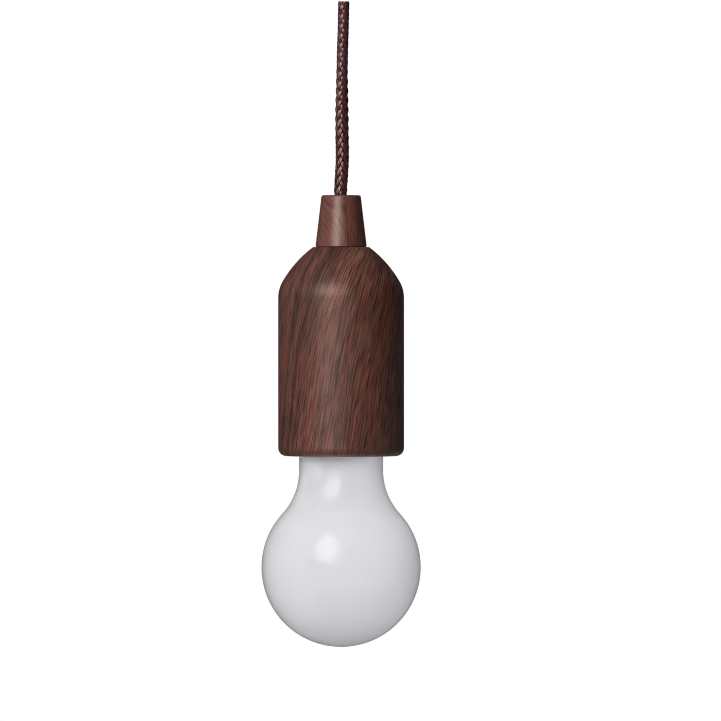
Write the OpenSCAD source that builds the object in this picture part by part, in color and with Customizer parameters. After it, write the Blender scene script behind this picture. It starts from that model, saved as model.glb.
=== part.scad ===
// Battery pendant lamp with a pull switch. The lamp hangs on a braided cord. Pulling the
// lamp down draws the cone, the stem and the yoke out of the housing and works a push switch.
// Heights in the modules are measured from the housing's bottom face, then place() moves
// everything so that the cord's upper end is at the origin, with +Z up.

/* [Cord] */
// Free length of cord above the cone
cord_free = 66.7; // [40:0.1:300]
// Diameter of the braided cord
cord_d = 4.4; // [4.2:0.05:4.5]
// Diameter of the filler yarn inside the braid
cord_core_d = 2.5; // [1.5:0.1:2.9]

/* [Cone] */
// Height of the cone
cone_h = 17.85; // [17:0.05:22]
// Diameter of the cone's upper end
cone_top_d = 13.54; // [13:0.02:15]
// Diameter of the cone's lower end
cone_bottom_d = 17.74; // [17.2:0.02:18.2]
// Rounding of the cone's upper edge
cone_edge_r = 0.75; // [0.3:0.05:1.5]

/* [Housing] */
// Outer diameter of the housing
housing_d = 43.5; // [43:0.1:46]
// Height of the housing
housing_h = 72.2; // [72.2:0.1:74]
// Wall thickness of the housing
wall = 1.8; // [1.6:0.05:1.9]
// Radius of the domed upper part
dome_r = 39.3; // [38:0.1:42]
// Radius that blends the dome into the straight side
shoulder_r = 11.5; // [11:0.1:12]
// Height at which the straight side ends
shoulder_u = 54.6; // [54.2:0.1:55]
// Slope of the wall where dome and shoulder meet, in degrees
blend_a = 30; // [29:1:31]
// Rounding of the housing's bottom edge
foot_r = 2.8; // [1.5:0.1:2.9]

/* [Globe] */
// Diameter of the globe
globe_d = 55; // [50:0.5:60]
// Diameter of the globe's neck
neck_d = 29; // [29:0.1:29]
// Depth of the globe's centre below the housing
globe_drop = 38.45; // [36:0.05:42]
// Length of straight neck below the housing
neck_len = 4.9; // [4:0.1:8]
// Wall thickness of the globe
globe_wall = 1.2; // [0.8:0.05:1.2]

/* [Pull switch] */
// Travel of the lamp on its stem when pulled
pull_travel = 3.0; // [1.5:0.1:3.0]
// Diameter of the pull stem
stem_d = 8.0; // [8.0:0.01:8.0]
// Radial running clearance of the stem in its bush
stem_clear = 0.06; // [0.03:0.01:0.1]
// Wire diameter of the return spring
spring_wire = 0.6; // [0.5:0.05:0.7]
// Turns of the return spring, with one closed turn at each end
spring_turns = 7; // [5:1:8]

/* [Battery cartridge] */
// Cell diameter, size AAA
cell_d = 10.5; // [10.2:0.1:10.5]
// Length of a cell's can
cell_len = 43.5; // [43.5:0.1:43.5]
// Distance from the lamp's axis to a cell's axis
cell_orbit = 6.7; // [6.7:0.05:6.8]
// Width of the opening that a cell snaps through
cell_gate = 9.6; // [9:0.1:10]

/* [Twist lock] */
// Turn from the open to the locked position
twist_a = 40; // [40:1:40]
// Width of a lug, in degrees
lug_a = 28; // [20:1:28]

/* [LED board] */
// Number of LEDs
led_count = 6; // [3:1:6]

/* [Hidden] */
$fn = 96;

// Colours
walnut = [0.31, 0.18, 0.15];
dark_walnut = [0.24, 0.14, 0.12];
yarn = [0.45, 0.30, 0.26];
opal = [0.88, 0.87, 0.89];
ivory = [0.90, 0.89, 0.85];
acetal = [0.85, 0.85, 0.83];
graphite = [0.12, 0.12, 0.13];
nickel = [0.75, 0.75, 0.72];
brassy = [0.78, 0.62, 0.32];
wire_red = [0.65, 0.08, 0.08];
wire_black = [0.08, 0.08, 0.08];
plunger_red = [0.75, 0.12, 0.10];
cell_blue = [0.20, 0.28, 0.40];
board_green = [0.06, 0.30, 0.16];
board_white = [0.93, 0.93, 0.92];
led_yellow = [0.95, 0.80, 0.35];

past = 1; // how far most cuts run past the surface they open

// Cord, cone and stem
cone_bottom = housing_h + 0.05;
cone_top = cone_bottom + cone_h;
cord_bottom = 51.2;
cord_step = 0.3; // height above the cone where the braid takes its full diameter
cord_top = cone_top + cord_free;
cord_hole_r = 2.1;
stem_r = stem_d / 2;
stem_fit = 0.02; // radial gap of the parts fixed on the stem
stem_bottom = 51;
stem_top = cone_bottom + 11.6;

// Housing: dome and shoulder are two tangent arcs. Their centres follow from the radii.
body_r = housing_d / 2;
inner_r = body_r - wall;
shoulder_centre = [body_r - shoulder_r, shoulder_u];
dome_centre = shoulder_centre - (dome_r - shoulder_r) * [cos(blend_a), sin(blend_a)];
rim_r = 0.6; // rounding of the dome's upper edge
rim_a = asin((housing_h - rim_r - dome_centre[1]) / (dome_r - rim_r));
rim_centre = dome_centre + (dome_r - rim_r) * [cos(rim_a), sin(rim_a)];
ceiling = 70; // flat ceiling inside the dome
ceiling_a = asin((ceiling - dome_centre[1]) / (dome_r - wall));

// Bracket plate and the bosses it is screwed to
plate_bottom = 50.5;
plate_top = 52.0;
boss_orbit = 13.6;
boss_angles = [60, 180, 300];

// Yoke, return spring and bush
yoke_bottom = 52.3;
yoke_t = 2.5;
yoke_top = yoke_bottom + yoke_t;
washer_t = 0.4;
spring_bottom = yoke_top + washer_t;
spring_top = 68.8;
bush_bottom = spring_bottom + pull_travel + 0.05;
bush_r = stem_r + stem_clear + 0.84;

// Switch and contact leaves
switch_x = 9.9;
switch_w = 7;
switch_bottom = 58.3;
switch_top = 65.3;
leaf_x = 3.8; // each leaf's distance from the axis along X
leaf_w = 2.6;
leaf_t = 0.25;

// Battery cartridge
bay_bottom = -2.0;
bay_top = 46.0;
holder_r = 12.9;
holder_top = 47.5;
angle_a = 90;
angle_b = 210;
angle_c = 330;
cell_angles = [angle_a, angle_b, angle_c];
nub_h = 1.0; // height of a cell's positive nub
nub_gap = 0.02;
contact_t = 0.4;
column_angles = [30, 150, 270]; // solid columns between the cells
column_orbit = 10.5;
peg_angles = [30, 150];
peg_hole_r = 1.7;
post_r = 0.8; // posts that join the end contacts to the boards
post_hole_r = 0.85;
wire_hole_r = 0.6;
pad_board_top = 48.7;
pad_y = -7.2;
led_board_bottom = -5.7;

// Twist lock
lug_angles = [0, 120, 240];

// Globe: a neck, a concave arc and a ball, all tangent
neck_r = neck_d / 2;
neck_top = 6.4;
ball_r = globe_d / 2;
flare_h = globe_drop - neck_len;
flare_r = (neck_r * neck_r + flare_h * flare_h - ball_r * ball_r) / (2 * (ball_r - neck_r));
flare_a = atan2(flare_h, neck_r + flare_r);

// ---------- shared functions and shapes ----------

function point_at(radius, angle) = radius * [cos(angle), sin(angle)];

function arc(centre, radius, from, to, steps) =
    [for (i = [0:steps]) centre + point_at(radius, from + (to - from) * i / steps)];

module place() {
    translate([0, 0, -cord_top]) children();
}

// The children at each angle, moved out by radius and up by z
module around(angles, radius, z = 0) {
    for (angle = angles)
        rotate([0, 0, angle]) translate([radius, 0, z]) children();
}

// A cylinder between two heights
module rod(radius, bottom, top) {
    translate([0, 0, bottom]) cylinder(r = radius, h = top - bottom);
}

// Part of a ring between two angles
module sector(inner, outer, bottom, top, from, to) {
    rotate([0, 0, from])
        rotate_extrude(angle = to - from)
            translate([inner, bottom]) square([outer - inner, top - bottom]);
}

// Two blocks mirrored about the XZ plane, the first with its low corner at the given point
module block_pair(corner, size) {
    for (side = [-1, 1])
        translate([corner[0], side > 0 ? corner[1] : -corner[1] - size[1], corner[2]])
            cube(size);
}

// Faces of a capped tube whose points run section by section
function tube_faces(steps, sides) = concat(
    [for (i = [0:steps - 1]) for (k = [0:sides - 1])
        let (next = (k + 1) % sides, near = i * sides, far = near + sides)
            each [[near + k, far + k, far + next], [near + k, far + next, near + next]]],
    [[for (k = [0:sides - 1]) k], [for (k = [sides - 1:-1:0]) steps * sides + k]]);

function reversed(list) = [for (i = [len(list) - 1:-1:0]) list[i]];

// A coil with one closed turn at each end, its radius going from start_r to end_r
module coil(start_r, end_r, wire_r, height, turns, segments, sides) {
    closed_rise = 2.08 * wire_r;
    open_rise = (height - 2 * wire_r - 2 * closed_rise) / (turns - 2);
    function rise(turn) =
        turn < 1 ? closed_rise * turn
        : turn < turns - 1 ? closed_rise + open_rise * (turn - 1)
        : closed_rise + open_rise * (turns - 2) + closed_rise * (turn - turns + 1);
    steps = turns * segments;
    points = [
        for (i = [0:steps])
            let (turn = i / segments,
                 angle = 360 * turn,
                 coil_r = start_r + (end_r - start_r) * i / steps,
                 z = wire_r + rise(turn))
                for (k = [0:sides - 1])
                    let (around_wire = 360 * k / sides,
                         reach = coil_r + wire_r * cos(around_wire))
                        [reach * cos(angle), reach * sin(angle), z + wire_r * sin(around_wire)]];
    polyhedron(points = points, faces = tube_faces(steps, sides), convexity = 8);
}

// Catmull-Rom curve from start to end, with t going from 0 to 1
function spline(before, start, end, after, t) =
    0.5 * (2 * start + (end - before) * t
           + (2 * before - 5 * start + 4 * end - after) * t * t
           + (3 * start - before - 3 * end + after) * t * t * t);

function smooth(path, steps) = [
    for (i = [0:len(path) - 2])
        let (before = i == 0 ? 2 * path[0] - path[1] : path[i - 1],
             after = i + 2 < len(path) ? path[i + 2] : 2 * path[i + 1] - path[i])
            for (k = [0:steps - 1]) spline(before, path[i], path[i + 1], after, k / steps),
    path[len(path) - 1]];

function unit(vector) = vector / norm(vector);

// One normal for each tangent, carried along the curve so that the tube doesn't twist
function normals(tangents, previous, i = 0) =
    i == len(tangents) ? []
    : let (normal = unit(previous - (previous * tangents[i]) * tangents[i]))
        concat([normal], normals(tangents, normal, i + 1));

// A round wire on a smooth curve through the given points
module wire(path, radius) {
    sides = 8;
    curve = smooth(path, 6);
    last = len(curve) - 1;
    tangents = [for (i = [0:last]) unit(curve[min(i + 1, last)] - curve[max(i - 1, 0)])];
    sideways = normals(tangents, [1, 0.01, 0.02]);
    points = [
        for (i = [0:last])
            let (across = cross(tangents[i], sideways[i]))
                for (k = [0:sides - 1])
                    let (angle = 360 * k / sides)
                        curve[i] + radius * (cos(angle) * sideways[i] + sin(angle) * across)];
    faces = [for (face = tube_faces(last, sides)) reversed(face)];
    polyhedron(points = points, faces = faces, convexity = 8);
}

// A bent strip, drawn as its centre line in the plane and extruded to its width
module strip(path, thickness, width) {
    translate([0, 0, -width / 2]) linear_extrude(width) {
        for (i = [0:len(path) - 2])
            let (run = path[i + 1] - path[i])
                translate(path[i]) rotate(atan2(run[1], run[0]))
                    translate([0, -thickness / 2]) square([norm(run), thickness]);
        for (bend = path)
            translate(bend) circle(r = thickness / 2, $fn = 24);
    }
}

// A cross-slotted screw pointing up, with the underside of its head at z = 0
module pan_screw(head_r, head_h, shank_r, length) {
    tip_h = 1;
    slot_w = 0.5;
    difference() {
        union() {
            rod(head_r, -head_h, 0);
            rod(shank_r, 0, length - tip_h);
            translate([0, 0, length - tip_h]) cylinder(r1 = shank_r, r2 = 0.3, h = tip_h);
        }
        for (angle = [0, 90])
            rotate([0, 0, angle])
                translate([-head_r * 0.6, -slot_w / 2, -head_h - past])
                    cube([head_r * 1.2, slot_w, 1.6]);
    }
}

// ---------- cord and the parts that hang on it ----------

module cord_braid() {
    squeezed_r = (cord_d - 0.4) / 2; // in the stem and the cone
    step_z = cone_top + cord_step;
    color(walnut) place() difference() {
        union() {
            rod(squeezed_r, cord_bottom, step_z);
            rod(cord_d / 2, step_z, cord_top);
        }
        rod(cord_core_d / 2 + 0.03, cord_bottom - past, cord_top + past);
    }
}

module cord_core() {
    color(yarn) place() rod(cord_core_d / 2, cord_bottom, cord_top);
}

module cord_cone() {
    bottom_r = cone_bottom_d / 2;
    top_r = cone_top_d / 2;
    slope = atan2(bottom_r - top_r, cone_h);
    edge_x = top_r + (-cone_edge_r + cone_edge_r * sin(slope)) / cos(slope);
    mouth_r = 2.45;
    // hollow around the stem socket
    socket_r = 5.6;
    hollow_r = bottom_r - 1.7;
    hollow_h = 9;
    lean = (bottom_r - top_r) / cone_h;
    color(walnut) place() difference() {
        rotate_extrude() polygon(concat(
            [[cord_hole_r, cone_top - 3.2], [mouth_r, cone_top - 1], [mouth_r, cone_top]],
            arc([edge_x, cone_top - cone_edge_r], cone_edge_r, 90, slope, 10),
            [[bottom_r - 0.02, cone_bottom + 0.25], [bottom_r - 0.15, cone_bottom + 0.06],
             [bottom_r - 0.35, cone_bottom], [cord_hole_r, cone_bottom]]));
        rod(stem_r + stem_fit, cone_bottom - past, stem_top + 0.1);
        rotate_extrude() polygon([
            [socket_r, cone_bottom - past],
            [hollow_r, cone_bottom - past],
            [hollow_r - lean * hollow_h, cone_bottom + hollow_h],
            [socket_r, cone_bottom + hollow_h]]);
    }
}

module pull_stem() {
    color(acetal) place() difference() {
        rod(stem_r, stem_bottom, stem_top);
        rod(cord_hole_r, stem_bottom - past, stem_top + past);
        // pocket for the ferrule
        rod(3.1, stem_bottom - past, 55.9);
    }
}

module cord_ferrule() {
    rib_h = 0.6;
    color(brassy) place() difference() {
        union() {
            rod(2.85, cord_bottom, cord_bottom + 4.5);
            for (rise = [0, 1.9, 3.9])
                rod(3.0, cord_bottom + rise, cord_bottom + rise + rib_h);
        }
        rod(cord_d / 2 - 0.18, 50, 58);
    }
}

module pull_yoke() {
    arm_w = 4;
    color(acetal) place() difference() {
        union() {
            rod(7, yoke_bottom, yoke_top);
            translate([-10.2, -arm_w / 2, yoke_bottom]) cube([22.1, arm_w, yoke_t]);
        }
        rod(stem_r + stem_fit, yoke_bottom - past, yoke_top + past);
    }
}

module stem_push_nut() {
    grip_r = stem_r + stem_fit;
    // [radius, height]
    outline = [[grip_r, 51.75], [4.6, 51.5], [6.4, 51.5], [6.4, 51.95], [4.8, 51.95],
               [grip_r, 52.2]];
    color(nickel) place() rotate_extrude() polygon(outline);
}

module spring_washer() {
    color(nickel) place() difference() {
        rod(6.4, yoke_top, spring_bottom);
        rod(4.15, yoke_top - past, spring_bottom + past);
    }
}

// ---------- housing and what is fixed in it ----------

// Shoulder and dome up to the ceiling, set in from the housing's outer face
function inset_dome(inset) = concat(
    arc(shoulder_centre, shoulder_r - inset, 0, blend_a, 8),
    arc(dome_centre, dome_r - inset, blend_a, ceiling_a, 14));

module housing_shell() {
    hole_r = bush_r + 0.02;
    mouth_r = 18.6; // recess in the bottom face
    lip_r = 16.7;
    lip_bottom = 1.2;
    lip_top = 3.4;
    stop_gap = 0.5; // end stops of the twist lock, in degrees
    stop_a = 4;
    notch_gap = 3; // degrees at each side of a lug
    outer = concat(
        arc(rim_centre, rim_r, 90, rim_a, 6),
        arc(dome_centre, dome_r, rim_a, blend_a, 24),
        arc(shoulder_centre, shoulder_r, blend_a, 0, 12),
        arc([body_r - foot_r, foot_r], foot_r, 0, -90, 14));
    lip = [[mouth_r, 0], [mouth_r, lip_bottom], [lip_r, lip_bottom], [lip_r, lip_top],
           [inner_r, lip_top]];
    color(walnut) place() difference() {
        union() {
            rotate_extrude() polygon(concat(
                [[hole_r, housing_h]], outer, lip, inset_dome(wall), [[hole_r, ceiling]]));
            // screw bosses that hang from the dome
            intersection() {
                around(boss_angles, boss_orbit) rod(2.4, plate_top + 0.02, plate_top + 16.02);
                rotate_extrude() polygon(concat(
                    [[0, 40], [inner_r + wall / 2, 40]], inset_dome(wall / 2), [[0, ceiling]]));
            }
            // end stops of the twist lock, either side of a lug's travel
            for (angle = lug_angles)
                for (start = [twist_a + lug_a / 2 + stop_gap, -lug_a / 2 - stop_gap - stop_a])
                    sector(17.0, inner_r + 0.6, 3.2, 5.6, angle + start, angle + start + stop_a);
        }
        around(boss_angles, boss_orbit) rod(0.9, plate_top - past, plate_top + 6.5);
        // notches in the lip that let the lugs pass when the lock is open
        for (angle = lug_angles)
            sector(15.5, 18.55, -1, lip_top + 0.05,
                   angle - lug_a / 2 - notch_gap, angle + lug_a / 2 + notch_gap);
    }
}

module stem_bush() {
    color(ivory) place() difference() {
        union() {
            rod(bush_r, bush_bottom, housing_h - 0.2);
            rod(6.6, spring_top, ceiling - 0.05);
        }
        rod(stem_r + stem_clear, bush_bottom - past, bush_bottom + 19);
    }
}

module return_spring() {
    gap = 0.01; // at each end
    color(nickel) place() translate([0, 0, spring_bottom + gap])
        coil(start_r = 5.8, end_r = 5.8, wire_r = spring_wire / 2,
             height = spring_top - spring_bottom - 2 * gap,
             turns = spring_turns, segments = 28, sides = 8);
}

module switch_bracket() {
    foot = plate_top - 0.2; // upright parts start inside the plate
    ledge_bottom = 57;
    peg_bottom = 44.5;
    peg_r = 1.5;
    chamfer = 1;
    cut_bottom = plate_bottom - past;
    cut_h = 4;
    color(ivory) place() difference() {
        union() {
            rod(16.3, plate_bottom, plate_top);
            // cheeks that hold the switch, with ledges under it
            block_pair([6.3, 3.6, foot], [6.3, 1.2, 64 - foot]);
            block_pair([6.8, 2.6, ledge_bottom], [5.8, 1.2, switch_bottom - 0.02 - ledge_bottom]);
            // posts either side of the yoke's -X arm
            block_pair([-10.4, 2.25, foot], [2.5, 1.05, 6.2]);
            // pegs that key the battery cartridge
            around(peg_angles, column_orbit, peg_bottom) {
                rod(peg_r, chamfer, 6.2);
                cylinder(r1 = 1.0, r2 = peg_r, h = chamfer);
            }
        }
        rod(6.8, cut_bottom, cut_bottom + cut_h);
        around(boss_angles, boss_orbit) rod(1.1, cut_bottom, cut_bottom + cut_h);
        // slots for the contact leaves
        for (x = [-leaf_x, leaf_x])
            translate([x - leaf_w / 2 - 0.1, -8.3, cut_bottom]) cube([leaf_w + 0.2, 0.6, cut_h]);
    }
}

module bracket_screws() {
    color(nickel) place() around(boss_angles, boss_orbit, plate_bottom - 0.01)
        pan_screw(head_r = 2.0, head_h = 1.2, shank_r = 0.88, length = 7.2);
}

module switch_case() {
    color(graphite) place() difference() {
        translate([switch_x - switch_w / 2, -switch_w / 2, switch_bottom])
            cube([switch_w, switch_w, switch_top - switch_bottom]);
        translate([switch_x, 0, 0]) rod(1.55, switch_bottom - past, switch_bottom + 6);
        block_pair([switch_x - 1, 3.2, 61], [2, 1, 2]);
    }
}

module switch_terminals() {
    size = [0.6, 0.3, 1.2];
    color(nickel) place()
        for (x = [-2, 0, 2])
            for (y = [-2.3, 2.3])
                translate([switch_x + x - size[0] / 2, y - size[1] / 2, switch_top]) cube(size);
}

// A leaf centred on x. Its path is in [y, height].
module leaf(x) {
    path = [[-8, 54.2], [-8, 50.34], [-10.2, 50.34], [-7.2, 48.99], [-6.1, 49.6]];
    translate([x, 0, 0]) rotate([90, 0, 90]) strip(path, leaf_t, leaf_w);
}

module contact_leaf_battery() {
    color(nickel) place() leaf(leaf_x);
}

module contact_leaf_lamp() {
    color(nickel) place() leaf(-leaf_x);
}

// Wires from the switch terminals down to the leaves, as [x, y, height]
switch_wire_r = 0.45;
red_path = [
    [7.9, -2.95, 66.1], [7.6, -4.3, 66.5], [6.8, -6.1, 64.9], [5.1, -7.5, 60],
    [leaf_x + 0.1, -8.4, 55.6], [leaf_x, -8.6, 53.0]];
black_path = [
    [11.9, -2.95, 66.0], [11.4, -4.6, 65.8], [9.4, -7.3, 62.2], [5.0, -9.1, 59.6],
    [-1.2, -9.7, 57.4], [-leaf_x, -8.9, 55.4], [-leaf_x, -8.6, 53.0]];

module switch_wire_red() {
    color(wire_red) place() wire(red_path, switch_wire_r);
}

module switch_wire_black() {
    color(wire_black) place() wire(black_path, switch_wire_r);
}

module switch_plunger() {
    color(plunger_red) place() translate([switch_x, 0, 0])
        rod(1.45, yoke_top + 0.05, yoke_top + 6.2);
}

// ---------- battery cartridge ----------

// Flat contact under one cell or joining two. Grow is added to the discs' radius and to
// the bridge's width.
module contact(angles, bottom, thickness = contact_t, grow = 0) {
    bridge_w = 3 + grow;
    translate([0, 0, bottom]) linear_extrude(thickness) {
        for (angle = angles)
            translate(point_at(cell_orbit, angle)) circle(r = 4.0 + grow);
        if (len(angles) > 1) {
            start = point_at(cell_orbit, angles[0]);
            run = point_at(cell_orbit, angles[1]) - start;
            translate(start) rotate(atan2(run[1], run[0]))
                translate([0, -bridge_w / 2]) square([norm(run), bridge_w]);
        }
    }
}

module battery_holder() {
    base = bay_bottom - 2;
    pocket_t = contact_t + 0.1;
    color(ivory) place() difference() {
        union() {
            difference() {
                rod(holder_r, base, holder_top);
                around(cell_angles, cell_orbit) {
                    rod(cell_d / 2 + 0.15, bay_bottom, bay_top);
                    translate([0, -cell_gate / 2, bay_bottom])
                        cube([10, cell_gate, bay_top - bay_bottom]);
                }
            }
            // tabs that the collar turns on
            for (angle = column_angles)
                sector(holder_r - 0.6, 15.2, 6.6, 8.1, angle - 20, angle + 20);
        }
        rod(wire_hole_r, base - past, base + 59);
        around(peg_angles, column_orbit) rod(peg_hole_r, 44, 49);
        around(column_angles, column_orbit) rod(0.88, base - past, base + 8);
        // room for the link contacts where they cross the webs
        contact([angle_a, angle_b], bay_bottom, pocket_t, grow = 0.3);
        contact([angle_b, angle_c], bay_top - pocket_t, pocket_t, grow = 0.3);
        around([angle_a], cell_orbit) rod(post_hole_r, bay_top - past, bay_top + 3);
        around([angle_c], cell_orbit) rod(post_hole_r, base - past, bay_bottom + 1);
    }
}

// A cell at the given angle, with its nub up or down
module cell(angle, up) {
    can_r = cell_d / 2;
    // [radius, height above the can's flat end]
    outline = [
        [0, 0.25], [3.2, 0.25], [3.6, 0], [can_r - 0.4, 0], [can_r, 0.4],
        [can_r, cell_len - 0.5], [can_r - 0.45, cell_len], [2.6, cell_len],
        [2.2, cell_len - 0.35], [1.9, cell_len - 0.35], [1.9, cell_len + nub_h - 0.15],
        [1.75, cell_len + nub_h], [0, cell_len + nub_h]];
    nub_room = contact_t + nub_gap + nub_h;
    flat_end = up ? bay_top - nub_room - cell_len : bay_bottom + nub_room + cell_len;
    around([angle], cell_orbit, flat_end)
        rotate([up ? 0 : 180, 0, 0]) rotate_extrude() polygon(outline);
}

module battery_cell_a() {
    color(cell_blue) place() cell(angle_a, up = true);
}

module battery_cell_b() {
    color(cell_blue) place() cell(angle_b, up = false);
}

module battery_cell_c() {
    color(cell_blue) place() cell(angle_c, up = true);
}

module pad_board() {
    color(board_green) place() difference() {
        rod(12.5, holder_top + 0.01, pad_board_top - 0.01);
        rod(wire_hole_r, 40, 60);
        around(peg_angles, column_orbit) rod(peg_hole_r, 40, 60);
        around([angle_a], cell_orbit) rod(post_hole_r, 40, 60);
    }
}

module contact_pads() {
    pad_r = 2.2;
    track_w = 1;
    color(brassy) place() translate([0, 0, pad_board_top]) linear_extrude(0.1) {
        // lamp pad, run to the middle
        translate([-leaf_x, pad_y]) circle(r = pad_r);
        rotate(180 + atan2(-pad_y, leaf_x)) translate([0, -track_w / 2]) square([8, track_w]);
        circle(r = 1.0);
        // battery pad, run to the first cell
        translate([leaf_x, pad_y]) circle(r = pad_r);
        translate([leaf_x - track_w / 2, -7]) square([track_w, 11.5]);
        translate([0, 3.5]) square([leaf_x + track_w / 2, track_w]);
        translate([-track_w / 2, 3.5]) square([track_w, 3.2]);
        translate([0, cell_orbit]) circle(r = 1.4);
    }
}

module cell_contact_positive() {
    color(nickel) place() {
        contact([angle_a], bay_top - contact_t);
        around([angle_a], cell_orbit) rod(post_r, bay_top - 0.1, pad_board_top - 0.01);
    }
}

module cell_contact_negative() {
    color(nickel) place() {
        contact([angle_c], bay_bottom);
        around([angle_c], cell_orbit) rod(post_r, led_board_bottom - 0.3, bay_bottom + 0.1);
    }
}

module link_contact_top() {
    color(nickel) place() contact([angle_b, angle_c], bay_top - contact_t);
}

module link_contact_bottom() {
    color(nickel) place() contact([angle_a, angle_b], bay_bottom);
}

module cell_spring() {
    room = bay_top - bay_bottom - 2 * contact_t - nub_gap - nub_h - cell_len;
    coil(start_r = 3.4, end_r = 2.3, wire_r = 0.25, height = room + 0.2,
         turns = 4, segments = 20, sides = 6);
}

module cell_springs() {
    lift = contact_t + 0.01;
    color(nickel) place() {
        around([angle_a, angle_c], cell_orbit, bay_bottom + lift) cell_spring();
        around([angle_b], cell_orbit, bay_top - lift) rotate([180, 0, 0]) cell_spring();
    }
}

module led_wire() {
    color(wire_black) place() rod(0.5, led_board_bottom, pad_board_top - 0.01);
}

module led_board() {
    color(board_white) place() difference() {
        rod(12.6, led_board_bottom, led_board_bottom + 1.6);
        rod(wire_hole_r, -10, 0);
        around(column_angles, column_orbit) rod(1.0, -10, 0);
        around([angle_c], cell_orbit) rod(post_hole_r, -10, 0);
    }
}

module led_chips() {
    size = [2.8, 3.5, 0.79];
    angles = [for (i = [0:led_count - 1]) 360 * i / led_count];
    color(led_yellow) place() around(angles, 7.6, led_board_bottom - 0.8) difference() {
        translate([-size[0] / 2, -size[1] / 2, 0]) cube(size);
        rod(1.1, -0.5, 0.2);
    }
}

module led_resistor() {
    color(graphite) place() translate([-1.6, 2.2, led_board_bottom - 0.6]) cube([3.2, 1.6, 0.59]);
}

module board_screws() {
    color(nickel) place() around(column_angles, column_orbit, led_board_bottom - 0.01)
        pan_screw(head_r = 1.8, head_h = 1.1, shank_r = 0.85, length = 7.5);
}

// ---------- bulb ----------

module bulb_collar() {
    bore_r = neck_r + 0.05;
    // [radius, height]
    outline = [
        [bore_r, 0.1], [18.2, 0.1], [18.4, 0.3], [18.4, 1.1], [16.4, 1.1], [16.4, 9.4],
        [16.2, 9.6], [14.0, 9.6], [14.0, 8.25], [15.4, 8.25], [15.4, 6.5], [bore_r, 6.5]];
    color(dark_walnut) place() union() {
        rotate_extrude() polygon(outline);
        for (angle = lug_angles)
            sector(16.1, 18.3, 3.5, 5.5, angle - lug_a / 2, angle + lug_a / 2);
    }
}

module globe_diffuser() {
    flare_centre = [neck_r + flare_r, -neck_len];
    ball_centre = [0, -globe_drop];
    color(opal) place() rotate_extrude() polygon(concat(
        [[neck_r - globe_wall, neck_top], [neck_r, neck_top]],
        arc(flare_centre, flare_r, 180, 180 + flare_a, 20),
        arc(ball_centre, ball_r, flare_a, -90, 56),
        arc(ball_centre, ball_r - globe_wall, -90, flare_a, 48),
        arc(flare_centre, flare_r + globe_wall, 180 + flare_a, 180, 16)));
}

cord_braid();
cord_core();
cord_cone();
pull_stem();
cord_ferrule();
pull_yoke();
stem_push_nut();
spring_washer();
housing_shell();
stem_bush();
return_spring();
switch_bracket();
bracket_screws();
switch_case();
switch_terminals();
contact_leaf_battery();
contact_leaf_lamp();
switch_wire_red();
switch_wire_black();
switch_plunger();
battery_holder();
battery_cell_a();
battery_cell_b();
battery_cell_c();
pad_board();
contact_pads();
cell_contact_positive();
cell_contact_negative();
link_contact_top();
link_contact_bottom();
cell_springs();
led_wire();
led_board();
led_chips();
led_resistor();
board_screws();
bulb_collar();
globe_diffuser();
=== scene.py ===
"""A battery lamp: opal globe, wood-print housing and cone, and a braided cord at the top.

The lamp's axis is Z. Its front faces -Y, where the camera stands, and +X is to the
camera's right. Names ending in _z are in metres. Other sizes are in mm, and a height or
level is measured up from the housing's bottom face.
"""
import math
import random

import bpy
import numpy as np
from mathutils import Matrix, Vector


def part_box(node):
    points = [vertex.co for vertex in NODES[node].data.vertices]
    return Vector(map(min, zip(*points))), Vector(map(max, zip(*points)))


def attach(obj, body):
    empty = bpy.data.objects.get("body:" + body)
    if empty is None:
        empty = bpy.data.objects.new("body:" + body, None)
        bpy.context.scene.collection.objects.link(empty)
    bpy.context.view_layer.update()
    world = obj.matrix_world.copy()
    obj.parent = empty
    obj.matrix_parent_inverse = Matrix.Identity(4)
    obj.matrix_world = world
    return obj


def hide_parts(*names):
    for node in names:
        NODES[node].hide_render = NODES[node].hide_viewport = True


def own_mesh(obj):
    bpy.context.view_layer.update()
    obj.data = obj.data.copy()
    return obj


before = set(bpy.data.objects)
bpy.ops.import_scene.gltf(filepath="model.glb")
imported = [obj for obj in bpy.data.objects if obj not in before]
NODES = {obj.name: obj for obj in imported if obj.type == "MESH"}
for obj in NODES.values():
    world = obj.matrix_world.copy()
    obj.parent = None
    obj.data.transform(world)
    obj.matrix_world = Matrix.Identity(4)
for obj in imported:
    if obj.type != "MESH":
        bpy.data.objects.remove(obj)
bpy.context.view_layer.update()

random.seed(7)
MM = 0.001

# ---------------------------------------------------------------- driving dimensions
BASE_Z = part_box("housing_shell")[0].z


def levels(node):
    """The bottom and top of a CAD piece, in mm above the housing's bottom face."""
    low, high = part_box(node)
    return (low.z - BASE_Z) / MM, (high.z - BASE_Z) / MM


CONE_TOP = levels("cord_cone")[1]
CORD_BOTTOM, CORD_TOP = levels("cord_braid")

CELL_RING = 6.7                # radius of the circle through the three cells' axes
CELLS = {                      # angle on that circle in degrees, positive end up
    "battery_cell_a": (90, True),
    "battery_cell_b": (210, False),
    "battery_cell_c": (330, True),
}


# ---------------------------------------------------------------- shader helpers
def operation(name, swapped=False):
    """An operator method that adds one Math node."""
    def method(self, other):
        first, second = (other, self) if swapped else (self, other)
        return self.shader.math(name, first, second)
    return method


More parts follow.
